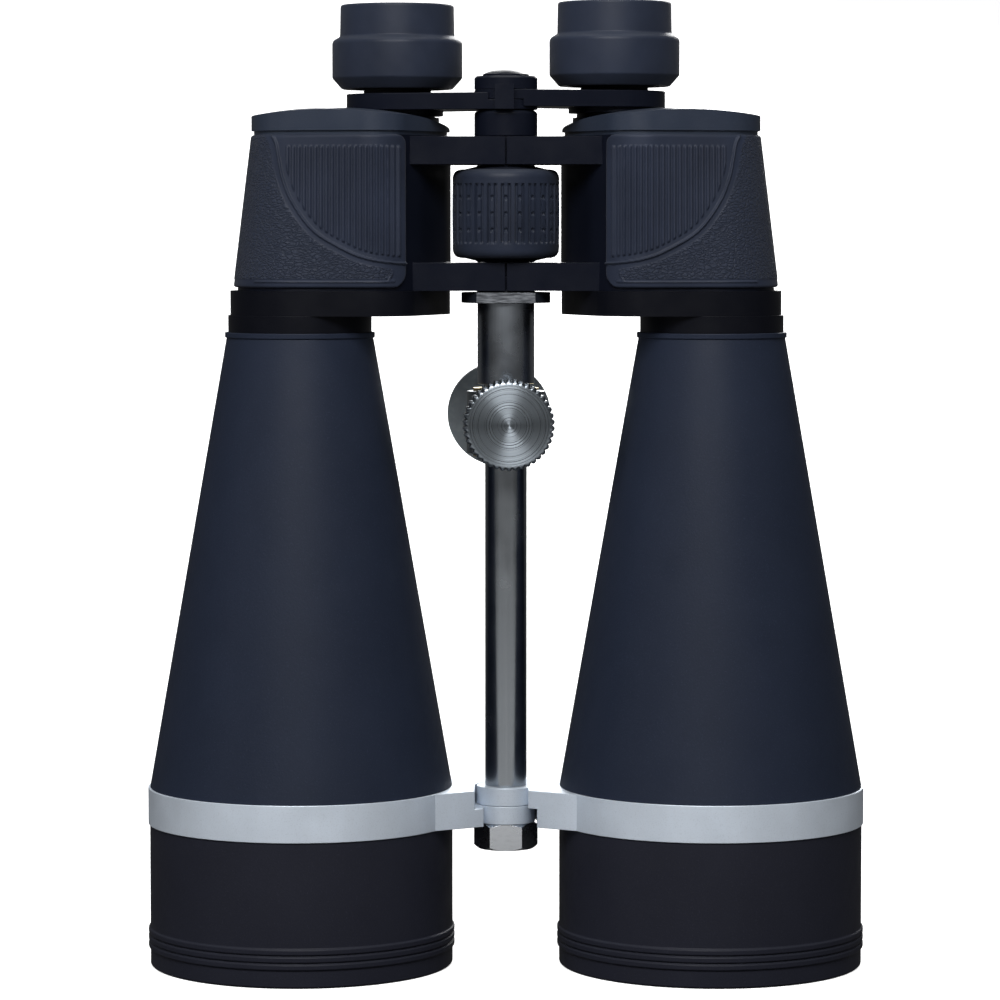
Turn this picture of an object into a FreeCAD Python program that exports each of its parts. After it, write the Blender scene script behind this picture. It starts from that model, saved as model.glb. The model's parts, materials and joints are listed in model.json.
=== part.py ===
"""Large-aperture Porro-prism binoculars with a support rod and a tripod carriage.

The instrument stands on its objective rims with the eyepieces up.  Millimetres, +Z up.
The hinge axis is vertical.  The eyecups and the tripod foot lie towards +Y.
"""
import FreeCAD, Part
import math
import os

os.makedirs("parts", exist_ok=True)
Vec = FreeCAD.Vector

# ---- Optical layout, measured from the hinge axis -----------------------------------------
eye_offset = 33.4               # hinge axis to eyepiece axis, across
eye_setback = 14.0              # eyepiece axis behind the objective axis
prism_aperture = 20.0           # width of the glass prisms
prism_offset_margin = 3.1       # beam shift beyond the prism's width
tunnel_radius = 9.4             # light holes in the prism shelf
fold_relief = 17.5              # degrees cut away behind the hinge arms, 1 beyond the fold's stop

# ---- Heights, stacked from the floor ------------------------------------------------------
cell_height = 43.8
brace_height = 11.2
cone_length = 139.3
neck_height = 5.2
plate_thickness = 7.5
cover_band = 5.6
cover_dome = 2.7
focus_travel = 7.0

# ---- Fits ---------------------------------------------------------------------------------
running_gap = 0.05              # radial clearance of a shaft in its hole
seat_gap = 0.1                  # clearance of a fixed piece in its seat
bearing_gap = 0.12              # between faces that turn on each other
body_gap = 0.5                  # between neighbours that swing past each other

# ---- Objective end ------------------------------------------------------------------------
lens_radius = 41.1
lens_edge = 2.5                 # crown lens edge
crown_front_sag = 4.2
crown_back_sag = 5.7
lens_air_gap = 0.2
flint_centre = 4.0
hood_step = 2.5                 # hood bore outside the lens
hood_wall = 2.9
ridge_height = 0.6
ridge_start = 5.4
ridge_pitch = 2.25
ridge_bevel = 0.2               # share of the pitch
ridge_count = 3
hood_depth = 18.0
retainer_height = 4.0
retainer_wall = 2.0
tube_spigot = 6.0               # length of the tube screwed into the cell
tube_wall = 1.8
tube_top_radius = 22.4
tube_lip = 0.5
tube_lip_height = 1.6
tube_step = 1.3                 # depth of the brace ring's seat
tube_step_gap = 0.1             # tube foot inside the cell's radius
top_spigot_radius = 20.0
top_spigot_length = 4.0
neck_radius = 21.9

# ---- Brace --------------------------------------------------------------------------------
brace_proud = 0.5               # brace ring outside the cell
brace_hub = 9.0
brace_face_start = 6.8          # arm's front face begins this far from the hinge
brace_root_width = 22.0         # half width where the arm meets its ring
rod_radius = 6.4
rod_spigot = 5.0                # M10 lower end of the rod
rod_tail = 16.5                 # rod below the brace
nut_flats = 17.0
nut_height = 8.0
nut_bevel = 1.2
nut_clear = 0.4                 # bevel cone outside the nut's corners

# ---- Prism housing: outline radii about the three beam axes -------------------------------
housing_barrel_foot = 19.0
housing_head_room = 1.2         # beside the prisms at the objective axis, under the cover
housing_fold_draft = 0.6        # over half the housing's height
prism_room = 0.4                # beside the prisms
eye_room = 0.26                 # beyond the prism's corner at the eyepiece
housing_wall = 2.0
armour_thickness = 2.0
armour_inset = 4.2              # armour's inner edge, from the eyepiece axis towards the hinge
armour_margin = 1.0             # bare strip under the armour
armour_corner = 4.7
plate_barrel = 21.2
plate_margin = 2.0              # plate outside the housing, between the two prisms
plate_eye_inset = 0.2
cover_barrel = 14.6
cover_margin = 0.6
cover_eye_inset = 0.3
cover_wall = 2.0
cover_rebate_height = 1.2       # shadow line over the armour
cover_rebate_depth = 0.8
cover_step_radius = 17.0
dome_radius = 26.0
shelf_thickness = 2.0
prism_trim = 2.0                # ground off each prism's ridge
prism_headroom = 3.05           # above and below the prisms
strap_width = 6.0
strap_thickness = 0.6
strap_foot = 1.2

# ---- Hinge --------------------------------------------------------------------------------
arm_height = 8.5
arm_half_depth = 11.0
arm_root = 3.6                  # lug buried in the housing's wall at the eyepiece
arm_drop = 0.5                  # upper arm below the housing's top
slit_half = 0.25
knuckle_radius = 9.0
axle_radius = 5.0
axle_bore = 3.6
sleeve_wall = 2.3
sleeve_length = 24.7
rod_into_sleeve = 17.0
flange_nut_radius = 13.6
flange_nut_height = 3.2
flange_nut_flat = 10.3
flange_nut_neck = 0.4
flange_nut_land = 0.2           # its seat outside the sleeve
collar_radius = 9.6
collar_height = 8.0
collar_bevel = 1.0

# ---- Focus wheel --------------------------------------------------------------------------
wheel_side_gap = 0.6            # wheel rim to prism housing
wheel_edge_gap = 1.4            # wheel rim to hinge arm
grip_thickness = 3.2
wheel_corner = 1.5
wheel_neck = 8.7
wheel_grooves = 48
wheel_groove_depth = 0.6
wheel_groove_width = 0.7
wheel_band_margin = 4.4         # smooth band above and below the grooves
pin_radius = 1.0
pin_half_length = 7.2
pin_room = 7.8

# ---- Eyepieces ----------------------------------------------------------------------------
arm_plate = 5.1
right_lift = 0.9                # right eyepiece arm above the left one
yoke_hub = 9.6
yoke_pin = 4.5
eye_ring = 15.6
eye_neck_radius = 14.1
eye_tube_radius = 11.6
eye_tube_wall = 1.2
eye_tube_depth = 20.0           # tube below the cover's top step
guide_wall = 1.2
lens_cell_wall = 1.5
head_gap = 1.5                  # between the arm ring and the eyepiece head
head_radius = 16.6
head_height = 16.0
head_bore = 14.4
eyecup_skirt = 20.0
eyecup_rim = 17.4
eyecup_height = 25.8
eyecup_taper_start = 17.0
eyecup_taper = 3.3
eyecup_skirt_top = 14.6
eyecup_bevel = 1.5
eyecup_mouth = 14.8
eyecup_edge = 0.8               # bevel of the rim
eye_lens_recess = 6.0
lens_cell_edge = 2.0
eye_lens_radius = 13.4
cap_height = 4.0
cap_button = 7.0
cap_button_height = 2.3
cap_edge = 0.6
cap_button_dome = 1.7
tab_overlap = 2.0               # tab sunk in the cap
tab_left = 3.4
tab_right = 2.4
tab_thickness = 1.8

# ---- Tripod carriage ----------------------------------------------------------------------
carriage_yaw = 2.3              # degrees that the carriage is turned about the rod
carriage_drop = 11.7            # carriage centre below the sleeve
carriage_half_height = 9.5
block_wall = 3.9
bush_wall = 1.6
bush_flange = 2.0
bush_collar = 0.8
post_radius = 8.0
post_end = 49.7
foot_radius = 16.3
foot_thickness = 8.3
foot_corner = 0.8
thread_radius = 3.175           # 1/4-20 tripod thread
thread_depth = 7.0
knob_radius = 13.8
knob_face = 24.3
knob_thickness = 9.5
knob_flutes = 42
knob_back_bevel = 1.0
knob_front_bevel = 1.2
knob_dimple_width = 1.0
knob_centre_dimple = 0.4
screw_bevel = 0.5
screw_sink = 0.2                # screw's end behind the knob's face
flute_radius = 0.55
screw_radius = 3.0

# ---- Beam axes: objective, fold between the prisms, eyepiece ------------------------------
prism_shift = prism_aperture + prism_offset_margin
prism_height = (prism_shift + prism_aperture) / 2 - prism_trim
barrel_offset = eye_offset + math.sqrt(2 * prism_shift ** 2 - eye_setback ** 2)
barrel_axis = (barrel_offset, 0.0)
eye_axis = (eye_offset, eye_setback)
half_x = (eye_offset - barrel_offset) / 2
half_y = eye_setback / 2
fold_axis = (barrel_offset + half_x - half_y, half_y + half_x)
housing_height = 2 * (prism_height + prism_headroom) + shelf_thickness

# ---- Radii that follow from the lens, the rod and the prisms ------------------------------
hood_radius = lens_radius + hood_step
cell_radius = hood_radius + hood_wall
tube_seat_radius = cell_radius - tube_step
tube_base_radius = cell_radius - tube_step_gap
brace_radius = cell_radius + brace_proud
sleeve_radius = rod_radius + sleeve_wall
bush_bore = rod_radius + running_gap
bush_radius = bush_bore + bush_wall
carriage_radius = bush_radius + running_gap + block_wall
housing_fold = prism_aperture / 2 + prism_room + housing_wall
housing_eye = prism_aperture / math.sqrt(2) + eye_room + housing_wall
housing_barrel_head = prism_aperture / 2 + housing_head_room + housing_wall
housing_fold_foot = housing_fold + housing_fold_draft
housing_fold_head = housing_fold - housing_fold_draft
plate_fold = housing_fold_foot + plate_margin
cover_fold = housing_fold_head + cover_margin
plate_eye = housing_eye - plate_eye_inset
cover_eye = housing_eye - cover_eye_inset
armour_start = eye_offset - armour_inset
wheel_radius = eye_offset - housing_eye - wheel_side_gap
wheel_core_radius = wheel_radius - grip_thickness
arm_reach = fold_axis[0] - prism_aperture / 2 - housing_wall
arm_reach_back = eye_offset - housing_eye + arm_root
eye_tube_bore = eye_tube_radius - eye_tube_wall
field_lens_radius = eye_tube_bore - running_gap - lens_cell_wall

# ---- Levels -------------------------------------------------------------------------------
brace_z = cell_height
cone_z = brace_z + brace_height
neck_z = cone_z + cone_length
plate_z = neck_z + neck_height
housing_z = plate_z + plate_thickness
cover_z = housing_z + housing_height
shelf_z = housing_z + housing_height / 2 - shelf_thickness / 2
lower_arm_z = housing_z
upper_arm_z = cover_z - arm_drop - arm_height
collar_z = upper_arm_z + arm_height + bearing_gap
yoke_z = collar_z + collar_height + bearing_gap
flange_nut_z = housing_z - bearing_gap - flange_nut_neck - flange_nut_height
sleeve_z = flange_nut_z - sleeve_length
carriage_z = sleeve_z - carriage_drop
wheel_z = lower_arm_z + arm_height + wheel_edge_gap
wheel_top = upper_arm_z - wheel_edge_gap
brace_middle = brace_z + brace_height / 2
yoke_top = yoke_z + arm_plate + right_lift
yoke_middle = yoke_z + (arm_plate + right_lift) / 2
step_z = cover_z + cover_band         # flat round the eyepiece

# The part is centred front to back: the cell ridges are foremost and the foot is rearmost.
foot_back = post_end + foot_thickness
yaw = math.radians(carriage_yaw)
rearmost = foot_back * math.cos(yaw) + (foot_radius - foot_corner) * math.sin(yaw)
foremost = cell_radius + ridge_height
frame_shift = Vec(0, (foremost - rearmost) / 2, 0)

nodes = {}


# ---- Shape helpers ------------------------------------------------------------------------
def cylinder(radius, low, high, at=(0.0, 0.0)):
    return Part.makeCylinder(radius, high - low, Vec(at[0], at[1], low))


def bored(outer, inner, low, high, at=(0.0, 0.0)):
    return cylinder(outer, low, high, at).cut(cylinder(inner, low - 1, high + 1, at))


def box(low, high):
    size = [high[i] - low[i] for i in range(3)]
    return Part.makeBox(size[0], size[1], size[2], Vec(*low))


def turned(profile, at=(0.0, 0.0)):
    """Solid of revolution about a vertical axis, from (radius, height) points."""
    points = [Vec(radius, 0, height) for radius, height in profile]
    face = Part.Face(Part.makePolygon(points + points[:1]))
    solid = face.revolve(Vec(0, 0, 0), Vec(0, 0, 1), 360)
    solid.translate(Vec(at[0], at[1], 0))
    return solid


def extruded(outline, low, high):
    """Prism over a list of (x, y) points."""
    points = [Vec(x, y, low) for x, y in outline]
    return Part.Face(Part.makePolygon(points + points[:1])).extrude(Vec(0, 0, high - low))


def hull_wire(circles, height):
    """Tight band round circles (centre, radius) that are listed counter-clockwise."""
    count = len(circles)
    normals = []
    for i in range(count):
        (ax, ay), ar = circles[i]
        (bx, by), br = circles[(i + 1) % count]
        distance = math.hypot(bx - ax, by - ay)
        normals.append(math.atan2(by - ay, bx - ax) - math.acos((ar - br) / distance))
    edges = []
    for i in range(count):
        (cx, cy), radius = circles[i]
        start = normals[i - 1]
        sweep = (normals[i] - start) % (2 * math.pi)
        arc = [Vec(cx + radius * math.cos(start + sweep * share),
                   cy + radius * math.sin(start + sweep * share), height)
               for share in (0.0, 0.5, 1.0)]
        edges.append(Part.Arc(*arc).toShape())
        (nx, ny), next_radius = circles[(i + 1) % count]
        tangent = Vec(nx + next_radius * math.cos(normals[i]),
                      ny + next_radius * math.sin(normals[i]), height)
        edges.append(Part.LineSegment(arc[2], tangent).toShape())
    return Part.Wire(edges)


def hull(circles, low, high):
    return Part.Face(hull_wire(circles, low)).extrude(Vec(0, 0, high - low))


def beam_circles(barrel, fold, eye, offset=0.0):
    """Circles about the three beam axes, counter-clockwise seen from above."""
    return [(barrel_axis, barrel + offset), (eye_axis, eye + offset), (fold_axis, fold + offset)]


def lens(radius, low, high, sag_low, sag_high, at):
    """Round lens whose edge runs from low to high; a positive sag bulges outwards."""
    def surface(edge_z, vertex_z):
        sag = abs(vertex_z - edge_z)
        if sag == 0:
            return Part.LineSegment(Vec(0, 0, edge_z), Vec(radius, 0, edge_z)).toShape()
        sphere = (radius ** 2 + sag ** 2) / (2 * sag)
        middle = sphere - math.sqrt(sphere ** 2 - radius ** 2 / 4)
        middle_z = vertex_z + math.copysign(middle, edge_z - vertex_z)
        return Part.Arc(Vec(0, 0, vertex_z), Vec(radius / 2, 0, middle_z), Vec(radius, 0, edge_z)).toShape()
    bottom = surface(low, low - sag_low)
    top = surface(high, high + sag_high)
    rim = Part.LineSegment(Vec(radius, 0, low), Vec(radius, 0, high)).toShape()
    axis = Part.LineSegment(Vec(0, 0, high + sag_high), Vec(0, 0, low - sag_low)).toShape()
    face = Part.Face(Part.Wire(Part.__sortEdges__([bottom, rim, top, axis])))
    solid = face.revolve(Vec(0, 0, 0), Vec(0, 0, 1), 360)
    solid.translate(Vec(at[0], at[1], 0))
    return solid


def one_side_only(slit):
    """Space that the right-hand arm may use: up to a slit in front, relieved behind."""
    far = 150.0
    lean = math.tan(math.radians(fold_relief))
    outline = [(slit, -far), (far, -far), (far, far), (slit + far * lean, far), (slit, 0.0)]
    return extruded(outline, -far, 3 * far)


def knuckled(arm, low, high, own_low, own_high, radius, bore):
    """Give a right-hand arm its share of the knuckles and clear the other half's share."""
    arm = arm.common(one_side_only(slit_half))
    if own_low > low:
        arm = arm.cut(cylinder(radius + body_gap, low - 1, own_low))
    if own_high < high:
        arm = arm.cut(cylinder(radius + body_gap, own_high, high + 1))
    arm = arm.fuse(cylinder(radius, own_low, own_high))
    return arm.cut(cylinder(bore, low - 1, high + 1)).removeSplitter()


def save_side(side, name, shape):
    """Store a right-hand shape, or its mirror image for the left-hand half."""
    if side == "left":
        shape = shape.mirror(Vec(0, 0, 0), Vec(1, 0, 0))
    nodes[side + "_" + name] = shape


# ---- Objective end ------------------------------------------------------------------------
def objective_cell():
    seat_radius = lens_radius + seat_gap
    shoulder_z = flint_top()
    profile = [(hood_radius, 0.0), (cell_radius - ridge_height, 0.0), (cell_radius, ridge_height),
               (cell_radius, ridge_start)]
    for i in range(ridge_count):
        low = ridge_start + i * ridge_pitch
        profile.append((foremost, low + ridge_bevel * ridge_pitch))
        profile.append((foremost, low + (1 - ridge_bevel) * ridge_pitch))
        profile.append((cell_radius, low + ridge_pitch))
    spigot_z = cell_height - tube_spigot
    profile += [(cell_radius, cell_height), (tube_seat_radius - ridge_height, cell_height),
                (tube_seat_radius - ridge_height, spigot_z), (lens_radius - retainer_wall, spigot_z),
                (lens_radius - retainer_wall, shoulder_z), (seat_radius, shoulder_z),
                (seat_radius, hood_depth), (hood_radius, hood_depth)]
    return turned(profile, barrel_axis)


def crown_edge_low():
    """The retainer's inner lip touches the domed front of the crown lens."""
    lip = (lens_radius - retainer_wall) / lens_radius
    return hood_depth + retainer_height + crown_front_sag * (1 - lip ** 2) + seat_gap


def flint_low():
    return crown_edge_low() + lens_edge + lens_air_gap


def flint_top():
    return flint_low() + crown_back_sag + flint_centre


def objective_tube():
    bottom = cell_height - tube_spigot
    spigot = tube_seat_radius - ridge_height
    top = neck_z + top_spigot_length
    profile = [(spigot, bottom), (spigot, brace_z), (tube_seat_radius, brace_z),
               (tube_seat_radius, cone_z), (tube_base_radius, cone_z),
               (tube_top_radius, neck_z - tube_lip_height),
               (tube_top_radius + tube_lip, neck_z - tube_lip_height),
               (tube_top_radius + tube_lip, neck_z), (top_spigot_radius, neck_z),
               (top_spigot_radius, top), (top_spigot_radius - tube_wall, top),
               (top_spigot_radius - tube_wall, neck_z - 2 * tube_wall),
               (tube_seat_radius - 2 * tube_wall, cone_z - tube_wall), (spigot - tube_wall, bottom)]
    return turned(profile, barrel_axis)


def front_notch(low, high, reach):
    """Cutter that bares the front of the brace's knuckles, out to a distance across."""
    room = box((-barrel_offset, -barrel_offset, low), (reach, 0, high))
    return room.cut(cylinder(brace_hub, low, high))


def brace_arm(side):
    outline = [(0.0, -brace_hub), (barrel_offset - math.sqrt(brace_radius ** 2 - brace_root_width ** 2),
                                   -brace_root_width),
               (barrel_offset, -brace_root_width), (barrel_offset, brace_root_width),
               (barrel_offset - math.sqrt(brace_radius ** 2 - brace_root_width ** 2), brace_root_width),
               (0.0, brace_hub)]
    arm = extruded(outline, brace_z, cone_z)
    split = bearing_gap / 2
    own = (brace_middle + split, cone_z) if side == "right" else (brace_z, brace_middle - split)
    arm = knuckled(arm, brace_z, cone_z, own[0], own[1], brace_hub, rod_spigot + running_gap)
    arm = arm.cut(front_notch(brace_z - 1, cone_z + 1, brace_face_start))
    other = (brace_z - 1, own[0]) if side == "right" else (own[1], cone_z + 1)
    arm = arm.cut(front_notch(other[0], other[1], brace_hub + body_gap))
    arm = arm.fuse(cylinder(brace_radius, brace_z, cone_z, barrel_axis))
    return arm.cut(cylinder(tube_seat_radius, brace_z - 1, cone_z + 1, barrel_axis)).removeSplitter()


def objective_nodes(side):
    save_side(side, "objective_cell", objective_cell())
    low = crown_edge_low()
    save_side(side, "crown_lens", lens(lens_radius, low, low + lens_edge, crown_front_sag,
                                       crown_back_sag, barrel_axis))
    save_side(side, "flint_lens", lens(lens_radius, flint_low(), flint_top(), -crown_back_sag, 0.0,
                                       barrel_axis))
    save_side(side, "lens_retainer", bored(lens_radius, lens_radius - retainer_wall, hood_depth,
                                           hood_depth + retainer_height, barrel_axis))
    save_side(side, "objective_tube", objective_tube())
    save_side(side, "brace_arm", brace_arm(side))


# ---- Prism housing ------------------------------------------------------------------------
def housing_loft(offset):
    foot = beam_circles(housing_barrel_foot, housing_fold_foot, housing_eye, offset)
    head = beam_circles(housing_barrel_head, housing_fold_head, housing_eye, offset)
    return Part.makeLoft([hull_wire(foot, housing_z), hull_wire(head, cover_z)], True, True)


def hinge_lug(side, low):
    high = low + arm_height
    outline = [(0.0, -arm_half_depth), (arm_reach, -arm_half_depth), (arm_reach_back, arm_half_depth),
               (0.0, arm_half_depth)]
    middle = (low + high) / 2
    split = bearing_gap / 2
    own = (middle + split, high) if side == "right" else (low, middle - split)
    return knuckled(extruded(outline, low, high), low, high, own[0], own[1], knuckle_radius,
                    axle_radius + running_gap)


def prism_housing(side):
    housing = housing_loft(0.0)
    for low in (lower_arm_z, upper_arm_z):
        housing = housing.fuse(hinge_lug(side, low))
    return housing.cut(housing_loft(-housing_wall)).removeSplitter()


def armour():
    skin = housing_loft(armour_thickness).cut(housing_loft(0.0))
    reach = 2 * barrel_offset
    sheet = box((armour_start, -reach, housing_z + armour_margin), (reach, reach, cover_z))
    corner = [edge for edge in sheet.Edges
              if abs(edge.CenterOfMass.x - armour_start) < 1e-6
              and abs(edge.CenterOfMass.z - housing_z - armour_margin) < 1e-6]
    return skin.common(sheet.makeFillet(armour_corner, corner))


def lower_plate():
    plate = hull(beam_circles(plate_barrel, plate_fold, plate_eye), plate_z, housing_z)
    plate = plate.fuse(cylinder(neck_radius, neck_z, plate_z, barrel_axis))
    plate = plate.cut(cylinder(top_spigot_radius, neck_z - 1, neck_z + top_spigot_length, barrel_axis))
    light_hole = cylinder(prism_aperture / 2 + tube_wall, neck_z, housing_z + 1, barrel_axis)
    return plate.cut(light_hole).removeSplitter()


def prism_roof(length, width, trim):
    """Ridge-shaped block along X on the XY plane, with the ridge ground off."""
    half = length / 2
    points = [Vec(-half, 0, 0), Vec(half, 0, 0), Vec(trim, 0, half - trim), Vec(-trim, 0, half - trim)]
    roof = Part.Face(Part.makePolygon(points + points[:1])).extrude(Vec(0, width, 0))
    roof.translate(Vec(0, -width / 2, 0))
    return roof


def laid(shape, start, end, height, upside_down):
    """Turn a block along X to lie from start to end at a height."""
    if upside_down:
        shape.rotate(Vec(0, 0, 0), Vec(1, 0, 0), 180)
    shape.rotate(Vec(0, 0, 0), Vec(0, 0, 1), math.degrees(math.atan2(end[1] - start[1], end[0] - start[0])))
    shape.translate(Vec((start[0] + end[0]) / 2, (start[1] + end[1]) / 2, height))
    return shape


def glass_prism(start, end, height, upside_down):
    length = prism_shift + prism_aperture
    prism = laid(prism_roof(length, prism_aperture, prism_trim), start, end, height, upside_down)
    ends = [(start, prism_aperture / 2), (end, prism_aperture / 2)]
    return prism.common(hull(ends, height - length, height + length))


def prism_strap(start, end, height, upside_down):
    length = prism_shift + prism_aperture
    thicker = length + 2 * strap_thickness * math.sqrt(2)
    strap = prism_roof(thicker, strap_width, prism_trim)
    foot_half = thicker / 2 + strap_foot
    foot = box((-foot_half, -strap_width / 2, 0.0), (foot_half, strap_width / 2, strap_thickness))
    strap = strap.fuse(foot).cut(prism_roof(length, 2 * strap_width, prism_trim))
    return laid(strap.removeSplitter(), start, end, height, upside_down)


def prism_shelf(cavity):
    shelf = cavity.common(box((0, -barrel_offset, shelf_z), (2 * barrel_offset, barrel_offset,
                                                             shelf_z + shelf_thickness)))
    for axis in (barrel_axis, fold_axis, eye_axis):
        shelf = shelf.cut(cylinder(tunnel_radius, shelf_z - 1, shelf_z + shelf_thickness + 1, axis))
    return shelf


def top_cover():
    outline = beam_circles(cover_barrel, cover_fold, cover_eye)
    top = cover_z + cover_band + cover_dome
    sphere_radius = dome_radius ** 2 / (2 * cover_dome)
    dome_centre = ((barrel_axis[0] + fold_axis[0]) / 2, (barrel_axis[1] + fold_axis[1]) / 2)
    sphere = Part.makeSphere(sphere_radius, Vec(dome_centre[0], dome_centre[1], top - sphere_radius))
    cover = hull(outline, cover_z, top).common(sphere)
    seat = beam_circles(cover_barrel, cover_fold, cover_eye, -cover_rebate_depth)
    rebate_top = cover_z + cover_rebate_height
    cover = cover.cut(hull(outline, cover_z - 1, rebate_top).cut(hull(seat, cover_z - 1, rebate_top)))
    cover = cover.cut(cylinder(cover_step_radius, step_z, top + 1, eye_axis))
    hollow = hull([(barrel_axis, cover_barrel - cover_wall), (fold_axis, cover_fold - cover_wall)],
                  cover_z - 1, cover_z + cover_band - cover_wall)
    guide_bore = eye_tube_radius + running_gap
    guide = cylinder(guide_bore + guide_wall, step_z - eye_tube_depth + 1, step_z, eye_axis)
    cover = cover.cut(hollow.cut(cylinder(guide_bore + guide_wall + cover_wall, cover_z - 2, top, eye_axis)))
    cover = cover.fuse(guide)
    return cover.cut(cylinder(guide_bore, step_z - 2 * eye_tube_depth, top + 1, eye_axis)).removeSplitter()


def housing_nodes(side):
    save_side(side, "prism_housing", prism_housing(side))
    save_side(side, "armour", armour())
    save_side(side, "lower_plate", lower_plate())
    cavity = housing_loft(-housing_wall)
    save_side(side, "prism_shelf", prism_shelf(cavity))
    upper = (barrel_axis, fold_axis, shelf_z + shelf_thickness, False)
    lower = (fold_axis, eye_axis, shelf_z, True)
    save_side(side, "upper_prism", glass_prism(*upper))
    save_side(side, "lower_prism", glass_prism(*lower))
    straps = [prism_strap(*place).common(cavity) for place in (upper, lower)]
    save_side(side, "prism_straps", Part.makeCompound(straps))
    save_side(side, "top_cover", top_cover())


# ---- Eyepieces ----------------------------------------------------------------------------
def eyepiece_arm(side, low):
    high = low + arm_plate
    arm = hull([((0.0, 0.0), yoke_hub), (eye_axis, eye_ring)], low, high)
    split = bearing_gap / 2
    own = (yoke_middle + split, high) if side == "right" else (low, yoke_middle - split)
    arm = knuckled(arm, low, high, own[0], own[1], yoke_hub, yoke_pin + running_gap)
    return arm.cut(cylinder(eye_neck_radius, low - 1, high + 1, eye_axis))


def eyepiece_nodes(side):
    lift = right_lift if side == "right" else 0.0
    arm_z = yoke_z + lift
    arm_top = arm_z + arm_plate
    head_z = arm_top + head_gap
    neck_low = step_z + body_gap + lift
    tube_low = step_z - eye_tube_depth
    rim_z = head_z + eyecup_height
    cell = eye_tube_bore - running_gap
    cell_head = head_bore - seat_gap
    save_side(side, "eyepiece_arm", eyepiece_arm(side, arm_z))

    barrel = turned([(eye_tube_bore, tube_low), (eye_tube_radius, tube_low), (eye_tube_radius, neck_low),
                     (eye_neck_radius, neck_low), (eye_neck_radius, arm_top), (eye_tube_bore, arm_top)],
                    eye_axis)
    save_side(side, "eyepiece_barrel", barrel)

    field_z = tube_low + eye_tube_depth / 2
    lens_seat_z = head_z + head_height - eye_lens_recess
    cell_low = field_z - lens_cell_edge
    cell_profile = [(cell - lens_cell_wall, cell_low), (cell, cell_low), (cell, head_z),
                    (cell_head, head_z), (cell_head, head_z + head_height),
                    (eye_lens_radius, head_z + head_height), (eye_lens_radius, lens_seat_z),
                    (cell - lens_cell_wall, lens_seat_z)]
    save_side(side, "lens_cell", turned(cell_profile, eye_axis))
    save_side(side, "field_lens", lens(field_lens_radius, field_z, field_z + 2.5, 0.0, 2.2, eye_axis))
    save_side(side, "eye_lens", lens(eye_lens_radius, lens_seat_z, lens_seat_z + 3.0, 0.0, 1.6, eye_axis))
    save_side(side, "head_ring", bored(head_radius, head_bore, head_z, head_z + head_height, eye_axis))

    cup_profile = [(head_radius, head_z), (eyecup_taper_start, head_z), (eyecup_skirt, head_z + eyecup_taper),
                   (eyecup_skirt, head_z + eyecup_skirt_top),
                   (eyecup_rim, head_z + eyecup_skirt_top + eyecup_bevel), (eyecup_rim, rim_z - eyecup_edge),
                   (eyecup_rim - eyecup_edge, rim_z), (eyecup_mouth + eyecup_edge, rim_z),
                   (eyecup_mouth, rim_z - eyecup_edge),
                   (eyecup_mouth, head_z + head_height), (head_radius, head_z + head_height)]
    save_side(side, "eyecup", turned(cup_profile, eye_axis))


# ---- Centre column ------------------------------------------------------------------------
def flange_nut():
    flange_top = flange_nut_z + flange_nut_height
    nut = cylinder(flange_nut_radius, flange_nut_z, flange_top)
    wide = 2 * flange_nut_radius
    for low, high in ((-wide, -flange_nut_flat), (flange_nut_flat, wide)):
        nut = nut.cut(box((-wide, low, flange_nut_z - 1), (wide, high, flange_top + 1)))
    nut = nut.fuse(cylinder(sleeve_radius + flange_nut_land, flange_top, flange_top + flange_nut_neck))
    return nut.cut(cylinder(axle_radius, flange_nut_z - 1, housing_z + 1)).removeSplitter()


def hex_nut(top):
    corner = nut_flats / math.sqrt(3)
    outline = [(corner * math.cos(math.radians(60 * i)), corner * math.sin(math.radians(60 * i)))
               for i in range(6)]
    nut = extruded(outline, top - nut_height, top)
    chamfer = turned([(0.0, top - nut_height), (nut_flats / 2, top - nut_height),
                      (corner + nut_clear, top - nut_height + nut_bevel),
                      (corner + nut_clear, top - nut_bevel),
                      (nut_flats / 2, top), (0.0, top)])
    return nut.common(chamfer).cut(cylinder(rod_spigot, top - nut_height - 1, top + 1))


def hinge_axle():
    low = sleeve_z + rod_into_sleeve
    axle = bored(axle_radius, axle_bore, low, collar_z + collar_height)
    slot_low = pin_z() - pin_radius - body_gap
    slot_high = pin_z() + focus_travel + pin_radius + body_gap
    slot = box((-2 * axle_radius, -pin_radius - running_gap, slot_low),
               (2 * axle_radius, pin_radius + running_gap, slot_high))
    return axle.cut(slot)


def pin_z():
    """Height of the drive pin at the lower end of its travel."""
    return (wheel_z + wheel_top - focus_travel) / 2


def column_nodes():
    rod_top = sleeve_z + rod_into_sleeve
    rod = cylinder(rod_radius, cone_z + bearing_gap, rod_top)
    spigot = cylinder(rod_spigot, brace_z - rod_tail + nut_height, cone_z + 1)
    nodes["support_rod"] = rod.fuse(spigot).removeSplitter()
    nodes["brace_nut"] = hex_nut(brace_z - bearing_gap)
    nodes["hinge_axle"] = hinge_axle()
    sleeve = bored(sleeve_radius, axle_radius, sleeve_z, flange_nut_z)
    nodes["hinge_sleeve"] = sleeve.cut(cylinder(rod_radius, sleeve_z - 1, rod_top))
    nodes["flange_nut"] = flange_nut()
    collar_top = collar_z + collar_height
    nodes["hinge_collar"] = turned([(axle_radius, collar_z), (collar_radius, collar_z),
                                    (collar_radius, collar_top - collar_bevel),
                                    (collar_radius - collar_bevel, collar_top), (axle_radius, collar_top)])


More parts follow.
